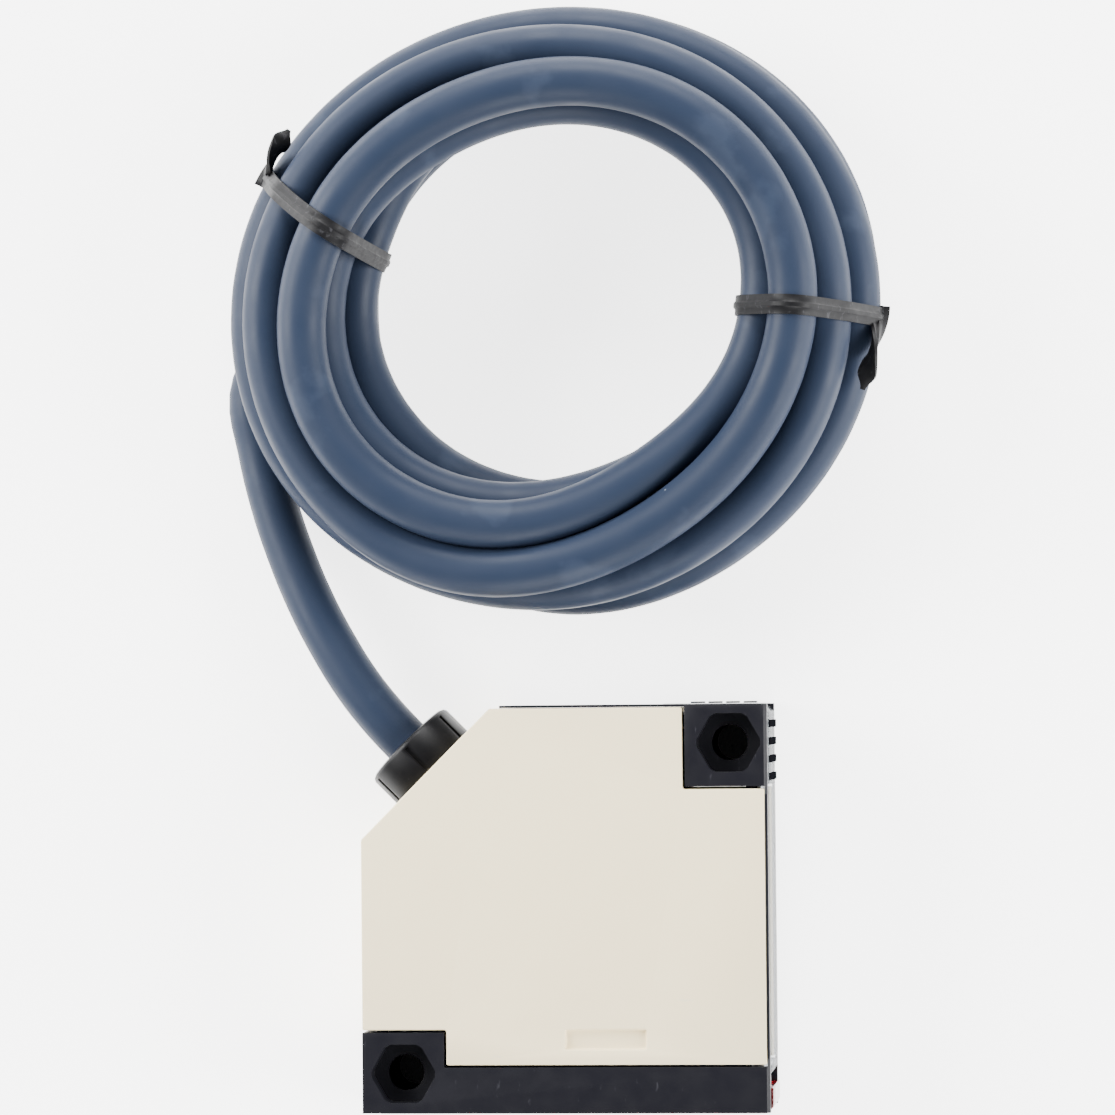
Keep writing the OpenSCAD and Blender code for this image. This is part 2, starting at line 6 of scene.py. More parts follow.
import bmesh
import bpy
import numpy as np
from mathutils import Euler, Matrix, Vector

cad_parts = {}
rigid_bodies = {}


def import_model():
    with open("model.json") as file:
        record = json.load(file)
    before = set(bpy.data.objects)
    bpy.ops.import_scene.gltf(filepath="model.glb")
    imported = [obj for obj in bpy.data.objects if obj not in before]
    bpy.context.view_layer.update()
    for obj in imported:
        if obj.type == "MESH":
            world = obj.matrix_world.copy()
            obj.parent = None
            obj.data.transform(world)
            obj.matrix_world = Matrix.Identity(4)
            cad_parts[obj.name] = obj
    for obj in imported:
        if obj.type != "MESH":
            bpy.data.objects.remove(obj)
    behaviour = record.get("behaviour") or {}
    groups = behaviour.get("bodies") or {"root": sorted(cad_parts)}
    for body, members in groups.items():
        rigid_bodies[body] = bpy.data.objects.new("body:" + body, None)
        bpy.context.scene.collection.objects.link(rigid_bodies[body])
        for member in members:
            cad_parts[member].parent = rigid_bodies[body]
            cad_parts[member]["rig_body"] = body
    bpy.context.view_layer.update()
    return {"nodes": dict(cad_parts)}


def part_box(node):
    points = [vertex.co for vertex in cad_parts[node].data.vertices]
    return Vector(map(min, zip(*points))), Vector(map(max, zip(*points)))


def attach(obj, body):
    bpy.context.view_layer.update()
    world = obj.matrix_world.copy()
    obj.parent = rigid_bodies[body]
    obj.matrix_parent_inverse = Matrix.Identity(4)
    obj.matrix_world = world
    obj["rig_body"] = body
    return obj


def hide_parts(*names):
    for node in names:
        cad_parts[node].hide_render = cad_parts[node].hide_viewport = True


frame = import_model()
MM = 0.001  # places and sizes are in millimetres, unless a comment says metres
ROOT = "root"


# ---- Camera ---------------------------------------------------------------

CAMERA_PLACE = (61.0, 25.4, 647.9)
CAMERA_TURN = (1.51, 5.59, -0.52)
SENSOR_WIDTH = 36
FOCAL_LENGTH = 168.2


def make_camera():
    """A long lens almost straight above, a little to the panel side of the body."""
    data = bpy.data.cameras.new("camera")
    data.sensor_width = SENSOR_WIDTH
    data.lens = FOCAL_LENGTH
    data.clip_start, data.clip_end = 0.05, 10
    camera = bpy.data.objects.new("camera", data)
    camera.location = Vector(CAMERA_PLACE) * MM
    camera.rotation_euler = Euler([math.radians(a) for a in CAMERA_TURN])
    bpy.context.scene.collection.objects.link(camera)
    bpy.context.scene.camera = camera


# ---- Cable ----------------------------------------------------------------

CABLE_D = 6.0
CABLE_R = CABLE_D / 2
COIL_XY = (-1.5, 74.5)
# The uncoiled cable, from the gland to where it joins the coil
ROUTE = [
    (-10.8, 10.8, 8.7), (-14, 14, 8.7), (-17, 17, 8.7), (-20.2, 20.2, 8.7),
    (-23.2, 23.4, 8.6), (-26.4, 27.4, 8.2), (-29.6, 32.4, 7.4), (-32.6, 38, 6.4),
    (-35.2, 44, 5.2), (-37.4, 50.4, 4.3), (-39, 57, 3.7), (-40, 63.6, 3.5),
    (-40.2, 69, 3.5),
]
# Where each turn lies, in millimetres and degrees: mean radius, height, size and direction
# of its once-round wave, the same of its twice-round wave, where it starts to move into the
# next turn's place, and over what angle it does so
TURNS = [
    (35.7, 3.0, 0.8, -64, 1.6, 34, 0, 70),
    (25.9, 8.9, 1.2, 40, 0.5, 70, 0, 65),
    (26.3, 14.2, 0.8, -146, 2.1, 49, -60, 90),
    (28.9, 19.2, 2.6, -89, 1.5, 56, -60, 50),
    (33.5, 14.9, 2.3, -103, 1.1, 19, -100, 55),
    (36.1, 8.9, 1.6, -90, 1.5, 28, -85, 75),
    (26.2, 3.0, 1.2, 40, 0.5, 70, -60, 70),
]
STEPS = 48  # in one turn
START_DEG = 188.0
LAST_DEG = -12.0
LEAD_STEPS = 5  # of the uncoiled cable, which push the turns but stay where they are
ROUTE_JOIN = 6  # the route's first point beside the coil
CUT_END_SHARP_DEG = 60
# Outer and inner end of each tie across the top of the coil, in degrees about its centre, and
# the length of its twisted tail
TIES = {"tie_left": (155.8, 166.2, 7.8), "tie_right": (-3.8, -3.4, 10.8)}
RIBBON_T = 0.45


def smooth(x):
    """Goes from 0 to 1 with level ends."""
    x = min(max(x, 0.0), 1.0)
    return x * x * (3 - 2 * x)


def lane(turn, angle):
    """(radius, height) of a turn's place at an angle in degrees."""
    mean, height, once, once_at, twice, twice_at = turn[:6]
    wave = once * math.cos(math.radians(angle - once_at))
    return mean + wave + twice * math.cos(math.radians(2 * angle - twice_at)), height


def wound_place(step):
    """(angle, radius, height) at a step of the winding, which runs clockwise from the lead."""
    angle = START_DEG - step * 360 / STEPS
    gone = START_DEG - angle
    index = 0
    share = 0.0
    for k in range(len(TURNS) - 1):
        leaves = START_DEG - TURNS[k][6] + 360 * k
        if gone >= leaves:
            index = k + 1
            share = smooth((gone - leaves) / TURNS[k][7])
    here = lane(TURNS[index], angle)
    if index == 0 or share >= 1:
        return angle, *here
    before = lane(TURNS[index - 1], angle)
    radius = before[0] + (here[0] - before[0]) * share
    return angle, radius, before[1] + (here[1] - before[1]) * share


def lead_place(angle):
    """(radius, height) of the route's last stretch at an angle about the coil's centre."""
    polar = []
    for x, y, z in ROUTE[ROUTE_JOIN:]:
        dx, dy = x - COIL_XY[0], y - COIL_XY[1]
        polar.append((math.degrees(math.atan2(dy, dx)) % 360, math.hypot(dx, dy), z))
    polar.sort()
    angles, radii, heights = zip(*polar)
    return float(np.interp(angle, angles, radii)), float(np.interp(angle, angles, heights))


def floor_height(angle):
    """Height of the lowest turns' middle, which a tie lifts where it passes underneath."""
    reach, slack = 14, 0.1
    lift = 0.0
    for outer, inner, _ in TIES.values():
        away = (angle - (outer + inner) / 2 + 180) % 360 - 180
        lift += (RIBBON_T + slack) * math.exp(-((away / reach) ** 2))
    return CABLE_R + lift


def lay_turns():
    """Angles, radii and heights of the winding, after the turns have pushed each other apart."""
    last = round((START_DEG - LAST_DEG) / 360 * STEPS) + STEPS * (len(TURNS) - 1)
    steps = range(-LEAD_STEPS, last + 1)
    angles = np.array([START_DEG - s * 360 / STEPS for s in steps])
    places = [lead_place(a) if s < 0 else wound_place(s)[1:] for s, a in zip(steps, angles)]
    aim = np.array(places, float)
    place = aim.copy()
    fixed = np.array(steps) < 1
    lowest = np.array([floor_height(a) for a in angles])
    rounds, settle = 400, 60
    push_share, pull = 0.6, (0.15, 0.06)
    bend, bend_settling = 0.2, 0.06
    for i in range(rounds):
        push = np.zeros_like(place)
        for m in range(1, len(TURNS) + 1):
            a, b = slice(0, len(place) - STEPS * m), slice(STEPS * m, len(place))
            if a.stop <= 0:
                continue
            gap = place[b] - place[a]
            far = np.maximum(np.linalg.norm(gap, axis=1, keepdims=True), 1e-6)
            part = np.maximum(CABLE_D - far, 0) * 0.5 * gap / far
            push[a] -= part
            push[b] += part
        place += push * push_share
        settling = i >= rounds - settle
        middle = (place[:-2] + place[2:]) / 2
        place[1:-1] += (bend_settling if settling else bend) * (middle - place[1:-1])
        if not settling:
            place += (aim - place) * pull
        place[:, 1] = np.maximum(place[:, 1], lowest)
        place[fixed] = aim[fixed]
    return angles[LEAD_STEPS:], place[LEAD_STEPS:, 0], place[LEAD_STEPS:, 1]


WOUND = lay_turns()


def about_coil(angle, radius, height):
    """A point in millimetres from its angle, radius and height about the coil's centre."""
    a = math.radians(angle)
    return COIL_XY[0] + radius * math.cos(a), COIL_XY[1] + radius * math.sin(a), height


def make_cable():
    """The cable as a mesh tube, and the points that it follows, in metres."""
    points = ROUTE[:-1] + [about_coil(*p) for p in zip(*WOUND)]
    data = bpy.data.curves.new("cable", "CURVE")
    data.dimensions = "3D"
    data.resolution_u = 4
    data.use_fill_caps = True
    spline = data.splines.new("BEZIER")
    spline.bezier_points.add(len(points) - 1)
    for point, place in zip(spline.bezier_points, points):
        point.co = Vector(place) * MM
        point.handle_left_type = point.handle_right_type = "AUTO"
    curve = bpy.data.objects.new("cable_curve", data)
    line = [tuple(v.co) for v in bpy.data.meshes.new_from_object(curve).vertices]
    data.bevel_depth = CABLE_R * MM
    data.bevel_resolution = 7
    mesh = bpy.data.meshes.new_from_object(curve)
    mesh.shade_smooth()
    mesh.set_sharp_from_angle(angle=math.radians(CUT_END_SHARP_DEG))
    bpy.data.curves.remove(data)
    cable = bpy.data.objects.new("cable", mesh)
    bpy.context.scene.collection.objects.link(cable)
    return cable, line


make_camera()
cable, cable_line = make_cable()


# ---- Materials ------------------------------------------------------------

def srgb(red, green, blue):
    """A linear colour from display values of 0 to 255."""
    out = []
    for value in (red, green, blue):
        v = value / 255
        out.append(v / 12.92 if v <= 0.04045 else ((v + 0.055) / 1.055) ** 2.4)
    return (*out, 1.0)


def scaled(color, k):
    """A colour made lighter or darker."""
    return (*(min(c * k, 1.0) for c in color[:3]), 1.0)


ROUGH_PATCH = 0.4  # size of the patches of roughness, as a share of those of colour
ROUGH_VARY = 0.14


class Paint:
    """A procedural material: a base colour and a roughness that vary, and a fine grain."""

    def __init__(self, name, color, rough, vary, patch=6.0, grain=0.25, depth=0.004, **sockets):
        self.material = bpy.data.materials.new(name)
        self.material.use_nodes = True
        self.tree = self.material.node_tree
        self.shader = self.tree.nodes["Principled BSDF"]
        self.where = self.tree.nodes.new("ShaderNodeTexCoord").outputs["Object"]
        cloud = self.noise(patch, 3)
        self.color = self.mix(cloud, scaled(color, 1 - vary), scaled(color, 1 + vary))
        cloud = self.noise(patch * ROUGH_PATCH, 4)
        self.rough = self.spread(cloud, rough * (1 - ROUGH_VARY), rough * (1 + ROUGH_VARY))
        self.height = self.noise(grain, 2)
        self.depth = depth
        for key, value in sockets.items():
            self.shader.inputs[key.replace("_", " ")].default_value = value

    def link(self, a, b):
        self.tree.links.new(a, b)

    def noise(self, size, detail, stretch=None):
        """Noise with features of a size in millimetres, squeezed along each axis by stretch."""
        node = self.tree.nodes.new("ShaderNodeTexNoise")
        node.inputs["Scale"].default_value = 1 / (size * MM)
        node.inputs["Detail"].default_value = detail
        where = self.where
        if stretch:
            mapping = self.tree.nodes.new("ShaderNodeMapping")
            mapping.inputs["Scale"].default_value = stretch
            self.link(where, mapping.inputs["Vector"])
            where = mapping.outputs["Vector"]
        self.link(where, node.inputs["Vector"])
        return node.outputs["Fac"]

    def mix(self, share, a, b):
        """A colour between two, each of which is a fixed colour or a socket."""
        node = self.tree.nodes.new("ShaderNodeMix")
        node.data_type = "RGBA"
        self.link(share, node.inputs["Factor"])
        for value, socket in ((a, node.inputs["A"]), (b, node.inputs["B"])):
            if isinstance(value, tuple):
                socket.default_value = value
            else:
                self.link(value, socket)
        return node.outputs["Result"]

    def spread(self, value, low, high, start=0.3, stop=0.7):
        """Takes a value from its range of start to stop into the range of low to high."""
        node = self.tree.nodes.new("ShaderNodeMapRange")
        self.link(value, node.inputs["Value"])
        ends = {"From Min": start, "From Max": stop, "To Min": low, "To Max": high}
        for key, number in ends.items():
            node.inputs[key].default_value = number
        return node.outputs["Result"]

    def marks(self, size, stretch, color, start, share=1.0, detail=4):
        """Sparse marks of another colour, such as scuffs, dust or wear."""
        fade = 0.08
        amount = self.spread(self.noise(size, detail, stretch), 0.0, share, start, start + fade)
        self.color = self.mix(amount, self.color, color)
        return self

    def specks(self, spacing, radius, color, share):
        """Small round specks, one in each cell of a size in millimetres."""
        node = self.tree.nodes.new("ShaderNodeTexVoronoi")
        node.inputs["Scale"].default_value = 1 / (spacing * MM)
        self.link(self.where, node.inputs["Vector"])
        edge = radius / spacing
        amount = self.spread(node.outputs["Distance"], share, 0.0, edge * 0.5, edge)
        self.color = self.mix(amount, self.color, color)
        return self

    def done(self):
        """Joins the layers to the shader and gives the material."""
        bump = self.tree.nodes.new("ShaderNodeBump")
        bump.inputs["Strength"].default_value = 0.6
        bump.inputs["Distance"].default_value = self.depth * MM
        self.link(self.height, bump.inputs["Height"])
        self.link(bump.outputs["Normal"], self.shader.inputs["Normal"])
        self.link(self.color, self.shader.inputs["Base Color"])
        self.link(self.rough, self.shader.inputs["Roughness"])
        return self.material


def clear(name, color, rough, ior=1.49, weight=1.0, gloss=0.5):
    """A see-through moulding with faint flow marks."""
    paint = Paint(name, color, rough, 0.02, grain=3.0, depth=0.01,
                  IOR=ior, Transmission_Weight=weight, Specular_IOR_Level=gloss)
    return paint.done()


IVORY = srgb(237, 221, 181)
BLACK = srgb(19, 19, 24)
JACKET = srgb(32, 41, 58)
DULL = 0.16

PAINTS = {
    "ivory_plastic": Paint("ivory_plastic", IVORY, 0.5, 0.015, grain=0.22, depth=0.006)
    .marks(5, (1, 3, 1), srgb(214, 208, 192), 0.72, 0.5).done(),
    "black_plastic": Paint("black_plastic", BLACK, 0.42, 0.05, grain=0.2, depth=0.006,
                           Specular_IOR_Level=DULL)
    .marks(2.5, (4, 1, 1), srgb(72, 72, 78), 0.68, 0.3).done(),
    "gland_plastic": Paint("gland_plastic", srgb(13, 13, 15), 0.4, 0.06, grain=0.3, depth=0.006,
                           Specular_IOR_Level=DULL)
    .marks(1.5, (1, 1, 3), srgb(66, 66, 72), 0.68, 0.3).done(),
    "holder_plastic": Paint("holder_plastic", srgb(30, 30, 33), 0.6, 0.08).done(),
    "relay_case": Paint("relay_case", srgb(38, 40, 44), 0.4, 0.05).done(),
    "black_rubber": Paint("black_rubber", srgb(36, 36, 38), 0.75, 0.1, grain=0.15, depth=0.01)
    .done(),
    "rib_black": Paint("rib_black", srgb(12, 12, 15), 0.9, 0.06, grain=0.15, depth=0.006,
                       Specular_IOR_Level=0.0).done(),
    "cable_jacket": Paint("cable_jacket", JACKET, 0.5, 0.05, patch=14, grain=0.5, depth=0.008,
                          Specular_IOR_Level=DULL)
    .marks(9, None, srgb(46, 55, 72), 0.6, 0.5).specks(9, 0.14, srgb(150, 158, 170), 0.4).done(),
    "tie_black": Paint("tie_black", srgb(15, 15, 17), 0.5, 0.08, patch=2, grain=0.3, depth=0.01,
                       Specular_IOR_Level=DULL)
    .marks(1.2, (1, 1, 4), srgb(70, 70, 74), 0.62, 0.4).done(),
    "knob_dark": Paint("knob_dark", srgb(48, 48, 54), 0.45, 0.06).done(),
    "knob_pale": Paint("knob_pale", srgb(226, 227, 224), 0.4, 0.02).done(),
    "control_blue": Paint("control_blue", srgb(40, 92, 168), 0.4, 0.05).done(),
    "circuit_board": Paint("circuit_board", srgb(26, 92, 56), 0.35, 0.08, patch=2.5, grain=0.8,
                           depth=0.02)
    .marks(1.6, (1, 6, 1), srgb(58, 128, 88), 0.56, 0.8, 0).done(),
    "ferrite": Paint("ferrite", srgb(66, 62, 60), 0.7, 0.1, grain=0.12, depth=0.02).done(),
    "capacitor_sleeve": Paint("capacitor_sleeve", srgb(38, 52, 88), 0.3, 0.05).done(),
    "absorber_blue": Paint("absorber_blue", srgb(40, 88, 176), 0.3, 0.08, patch=1.5, grain=1.2,
                           depth=0.03).done(),
    "dark_epoxy": Paint("dark_epoxy", srgb(36, 34, 36), 0.35, 0.08).done(),
    "led_red": Paint("led_red", srgb(196, 40, 50), 0.15, 0.04, Transmission_Weight=0.4).done(),
    "led_green": Paint("led_green", srgb(90, 200, 120), 0.2, 0.04, Transmission_Weight=0.4)
    .done(),
    "led_orange": Paint("led_orange", srgb(236, 150, 56), 0.2, 0.04, Transmission_Weight=0.4)
    .done(),
    "label_silver": Paint("label_silver", srgb(168, 169, 170), 0.45, 0.04, grain=0.12,
                          depth=0.003, Metallic=0.15, Specular_IOR_Level=0.05)
    .marks(2.0, (1, 1, 14), srgb(118, 119, 120), 0.55, 0.5).done(),
    "tinned_steel": Paint("tinned_steel", srgb(196, 198, 202), 0.35, 0.05, Metallic=1.0).done(),
    "plain_steel": Paint("plain_steel", srgb(200, 202, 206), 0.28, 0.05, Metallic=1.0).done(),
    "brass_pins": Paint("brass_pins", srgb(214, 186, 118), 0.3, 0.05, Metallic=1.0).done(),
    "clear_acrylic": clear("clear_acrylic", srgb(240, 244, 246), 0.05),
    "clear_cover": Paint("clear_cover", srgb(128, 134, 138), 0.12, 0.02, grain=3.0, depth=0.01,
                         Alpha=0.3, Specular_IOR_Level=0.25).done(),
    "red_lens": clear("red_lens", srgb(186, 18, 32), 0.12, 1.45, 0.9, 0.25),
}
CORE_COLORS = [(96, 58, 34), (38, 66, 140), (34, 34, 36), (226, 226, 220), (134, 136, 140)]
CORE_PAINTS = [
    Paint("core_%d" % i, srgb(*color), 0.35, 0.05, grain=0.3, depth=0.006).done()
    for i, color in enumerate(CORE_COLORS)
]
COPPER = Paint("copper_strands", srgb(206, 128, 88), 0.3, 0.08, patch=0.4, Metallic=1.0).done()
PRINT_WHITE = Paint("print_white", srgb(236, 237, 235), 0.5, 0.02).done()


def dress(obj, *materials):
    """Gives a mesh its materials. Faces keep the place that they have in the list."""
    if obj.data.materials:
        obj.data.materials.clear()
    for m in materials:
        obj.data.materials.append(m)


# ---- Mesh helpers ---------------------------------------------------------

SHARP_DEG = 38
BEVEL_SEGMENTS = 3
BEVEL_DEG = 32  # edges turned by less stay sharp
MERGE_DIST = 2e-6  # metres
FLAT_DEG = 0.8  # faces that turn by less are one


def add_object(name, mesh, body=ROOT):
    """Puts a mesh into the scene as a piece of a body."""
    obj = bpy.data.objects.new(name, mesh)
    bpy.context.scene.collection.objects.link(obj)
    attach(obj, body)
    return obj


def finish_mesh(mesh):
    """Smooth faces with sharp edges between them."""
    mesh.shade_smooth()
    mesh.set_sharp_from_angle(angle=math.radians(SHARP_DEG))


def rounded(node, radius, slot):
    """A CAD node's shape with a radius on its edges, in millimetres. It stands for the node."""
    cad = frame["nodes"][node]
    mesh = cad.data.copy()
    bm = bmesh.new()
    bm.from_mesh(mesh)
    bmesh.ops.remove_doubles(bm, verts=bm.verts, dist=MERGE_DIST)
    bmesh.ops.dissolve_limit(bm, angle_limit=math.radians(FLAT_DEG), verts=bm.verts,
                             edges=bm.edges)
    bm.to_mesh(mesh)
    bm.free()
    piece = add_object(node + "_moulding", mesh, cad["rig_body"])
    bevel = piece.modifiers.new("edge", "BEVEL")
    bevel.width = radius * MM
    bevel.segments = BEVEL_SEGMENTS
    bevel.limit_method = "ANGLE"
    bevel.angle_limit = math.radians(BEVEL_DEG)
    bevel.miter_outer = "MITER_ARC"
    evaluated = piece.evaluated_get(bpy.context.evaluated_depsgraph_get())
    piece.data = bpy.data.meshes.new_from_object(evaluated)
    piece.modifiers.clear()
    finish_mesh(piece.data)
    dress(piece, PAINTS[slot])
    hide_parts(node)


def sweep(bm, points, ups, profile, material=0, turn=0.0, close=False, sizes=None):
    """Sweeps a closed profile of (across, up) points along a path.

    The profile turns by an angle in degrees on the way, and is scaled at each point by sizes.
    """
    rings = []
    count = len(points)
    for i, p in enumerate(points):
        if close:
            ahead, behind = points[(i + 1) % count], points[i - 1]
        else:
            ahead, behind = points[min(i + 1, count - 1)], points[max(i - 1, 0)]
        along = (ahead - behind).normalized()
        up = (ups[i] - along * ups[i].dot(along)).normalized()
        across = along.cross(up)
        a = math.radians(turn * i / (count - 1))
        ring = []
        size = sizes[i] if sizes else 1.0
        for w, h in profile:
            w, h = w * size, h * size
            x, y = w * math.cos(a) - h * math.sin(a), w * math.sin(a) + h * math.cos(a)
            ring.append(bm.verts.new((p + across * x + up * y) * MM))
        rings.append(ring)
    for a, b in zip(rings, rings[1:] + rings[:1] if close else rings[1:]):
        for k in range(len(profile)):
            n = (k + 1) % len(profile)
            bm.faces.new((a[k], a[n], b[n], b[k])).material_index = material
    if not close:
        bm.faces.new(rings[0][::-1]).material_index = material
        bm.faces.new(rings[-1]).material_index = material


def disc(radius, sides):
    """The outline of a round profile."""
    angles = [2 * math.pi * k / sides for k in range(sides)]
    return [(radius * math.cos(a), radius * math.sin(a)) for a in angles]


def mesh_of(bm, name):
    """Turns a bmesh into a finished mesh."""
    bmesh.ops.recalc_face_normals(bm, faces=bm.faces)
    mesh = bpy.data.meshes.new(name)
    bm.to_mesh(mesh)
    bm.free()
    finish_mesh(mesh)
    return mesh


# ---- Stripped cores at the far end -----------------------------------------

def make_core_ends():
    """Five cores fan out of the cut jacket and lie three and two under the coil, tips bare."""
    core_r, pitch, bare_deg = 0.6, 1.25, 12
    first_lay_r, in_jacket_r, inside_deg = 25.5, 1.1, 1.5
    longest_deg, shorter_deg, count = 68, 2, 40
    strands, strand_r, strand_pitch, strand_twist = 7, 0.13, 0.26, 0.5
    first_spin, fan_from, fan_over = 200, 0.02, 0.3
    wave_size, waves = 0.12, 5
    lay_sides, strand_sides = 16, 8
    end_r, end_z = float(WOUND[1][-1]), float(WOUND[2][-1])
    bm = bmesh.new()
    for i in range(len(CORE_PAINTS)):
        row = i // 3
        lay_r = first_lay_r + pitch * (i % 3 + row / 2)
        lay_z = core_r + row * pitch * math.sin(math.radians(60))
        spin = math.radians(360 / len(CORE_PAINTS) * i + first_spin)
        out_r = end_r + in_jacket_r * math.cos(spin)
        out_z = end_z + in_jacket_r * math.sin(spin)
        length = longest_deg - shorter_deg * i
        path = []
        for k in range(count):
            share = k / (count - 1)
            blend = smooth((share - fan_from) / fan_over)
            wave = wave_size * math.sin(waves * share + i) * blend
            place = (out_r + (lay_r - out_r) * blend + wave, out_z + (lay_z - out_z) * blend)
            deg = LAST_DEG + inside_deg - share * (length + inside_deg)
            path.append(Vector(about_coil(deg, *place)))
        ups = [Vector((0, 0, 1))] * count
        cut = round(count * (1 - bare_deg / length))
        sweep(bm, path[:cut], ups[:cut], disc(core_r, lay_sides), i)
        for strand in range(strands):
            spread = 0.0 if strand == strands - 1 else strand_pitch
            tips = []
            for k, p in enumerate(path[cut - 2:]):
                a = 2 * math.pi * strand / (strands - 1) + strand_twist * k
                off = (math.cos(a), math.sin(a), 0.7 * math.sin(a))
                tips.append(p + spread * Vector(off))
            sweep(bm, tips, ups[cut - 2:], disc(strand_r, strand_sides), len(CORE_PAINTS))
    piece = add_object("core_ends_stripped", mesh_of(bm, "core_ends_stripped"))
    dress(piece, *CORE_PAINTS, COPPER)
    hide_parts("core_ends")
    return piece


# ---- Twist ties -----------------------------------------------------------

def section_hull(angle, grow):
    """The outline that a tight ribbon takes round the turns at an angle, as (radius, height)."""
    sides = 32
    dots = []
    for a, r, z in zip(*WOUND):
        if abs((a - angle + 180) % 360 - 180) <= 180 / STEPS:
            dots += [(r + x, z + y) for x, y in disc(CABLE_R + grow, sides)]
    dots.sort()
    hull = []
    for line in (dots, dots[::-1]):
        part = []
        for p in line:
            while len(part) > 1:
                (ax, ay), (bx, by) = part[-2:]
                if (bx - ax) * (p[1] - ay) - (by - ay) * (p[0] - ax) > 0:
                    break
                part.pop()
            part.append(p)
        hull += part[:-1]
    return hull


def resampled(loop, step):
    """A closed outline again, with points a step apart, starting at its outermost point."""
    start = max(range(len(loop)), key=lambda i: loop[i][0])
    loop = loop[start:] + loop[:start] + [loop[start]]
    line = np.array(loop)
    along = np.concatenate([[0], np.cumsum(np.linalg.norm(np.diff(line, axis=0), axis=1))])
    at = np.linspace(0, along[-1], int(along[-1] / step), endpoint=False)
    columns = [np.interp(at, along, line[:, k]).tolist() for k in (0, 1)]
    return list(zip(*columns))


def make_tie(name, outer_deg, inner_deg, tail_length):
    """A flat ribbon, a wire down its middle, round the bundle, with its ends twisted together."""
    half_w, thin, wire = 1.2, RIBBON_T * 0.6, 0.5
    wire_top, slope = RIBBON_T + 0.05, thin + 0.03
    slack, step = 0.04, 0.6
    profile = [(-half_w, 0), (half_w, 0), (half_w, thin), (wire, slope), (wire * 0.5, wire_top),
               (-wire * 0.5, wire_top), (-wire, slope), (-half_w, thin)]
    hull = resampled(section_hull((outer_deg + inner_deg) / 2, slack), step)
    reach = [r for r, _ in hull]
    out_r, in_r = max(reach), min(reach)
    points, ups = [], []
    for i, (r, z) in enumerate(hull):
        deg = outer_deg + (inner_deg - outer_deg) * (out_r - r) / (out_r - in_r)
        points.append(Vector(about_coil(deg, r, z)))
    half_height = 11
    middle = about_coil((outer_deg + inner_deg) / 2, (out_r + in_r) / 2, half_height)
    middle = Vector(middle)
    side = math.radians(outer_deg)
    across = Vector((-math.sin(side), math.cos(side), 0))
    for i, p in enumerate(points):
        along = (points[(i + 1) % len(points)] - points[i - 1]).normalized()
        up = across.cross(along).normalized()
        ups.append(up if up.dot(p - middle) > 0 else -up)
    bm = bmesh.new()
    sweep(bm, points, ups, profile, close=True)
    # The two ends lie on each other and twist half a turn along the outside of the coil
    count, overlap, twist = 36, 1.4, 200
    low_z, rise, inward, inward_end = 9.8, 4.4, 0.1, 0.4
    taper_from, taper = 0.8, 0.75
    path, sizes = [], []
    for k in range(count):
        share = k / (count - 1)
        deg = outer_deg - math.degrees((tail_length * share - overlap) / out_r)
        height = low_z + rise * smooth(share * 1.5)
        path.append(Vector(about_coil(deg, out_r - inward - inward_end * share, height)))
        sizes.append(1 - taper * smooth((share - taper_from) / (1 - taper_from)))
    strip = [(-half_w, -0.3), (-0.4, -0.45), (0.4, -0.45), (half_w, -0.3), (half_w, 0.12),
             (0.45, 0.18), (0.3, 0.45), (-0.3, 0.45), (-0.45, 0.18), (-half_w, 0.12)]
    sweep(bm, path, [Vector((0, 0, 1))] * count, strip, turn=twist, sizes=sizes)
    piece = add_object(name + "_ribbon", mesh_of(bm, name + "_ribbon"))
    dress(piece, PAINTS["tie_black"])
    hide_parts(name)
    return piece


core_ends = make_core_ends()
ties = [make_tie(name, *shape) for name, shape in TIES.items()]


# ---- Casing ---------------------------------------------------------------

# Node, radius of its edges in millimetres, and slot
ROUNDED = [
    ("chassis", 0.14, "black_plastic"), ("side_cover_upper", 0.22, "ivory_plastic"),
    ("side_cover_lower", 0.22, "ivory_plastic"), ("front_lens", 0.16, "red_lens"),
    ("clear_cover", 0.14, "clear_cover"), ("grip_ribs", 0.07, "rib_black"),
    ("gland_nut", 0.16, "gland_plastic"), ("gland_body", 0.1, "gland_plastic"),
    ("adjuster_knob", 0.08, "knob_dark"), ("selector_knob", 0.08, "knob_pale"),
    ("relay", 0.4, "relay_case"), ("wire_terminals", 0.06, "brass_pins"),
    ("board_screws", 0.1, "plain_steel"), ("lens_holder", 0.15, "holder_plastic"),
    ("adjuster_body", 0.15, "control_blue"), ("selector_body", 0.15, "relay_case"),
]
for node, radius, slot in ROUNDED:
    rounded(node, radius, slot)

# Nodes that keep the shape of the CAD
KEPT = {
    "lens_seal": "black_rubber", "emitter_lens": "clear_acrylic", "receiver_lens": "clear_acrylic",
    "emitter_led": "led_red", "receiver_photodiode": "dark_epoxy", "receiver_shield": "tinned_steel",
    "optics_board": "circuit_board", "main_board": "circuit_board", "transformer": "ferrite",
    "smoothing_capacitor": "capacitor_sleeve", "surge_absorber": "absorber_blue",
    "control_chip": "dark_epoxy", "panel_board": "circuit_board", "panel_seal": "black_rubber",
    "stability_led": "led_green", "operation_led": "led_orange", "light_guides": "clear_acrylic",
    "panel_label": "label_silver", "hinge_pin": "plain_steel", "gland_seal": "black_rubber",
    "cable_clamp": "tinned_steel",
}
for node, slot in KEPT.items():
    dress(frame["nodes"][node], PAINTS[slot])


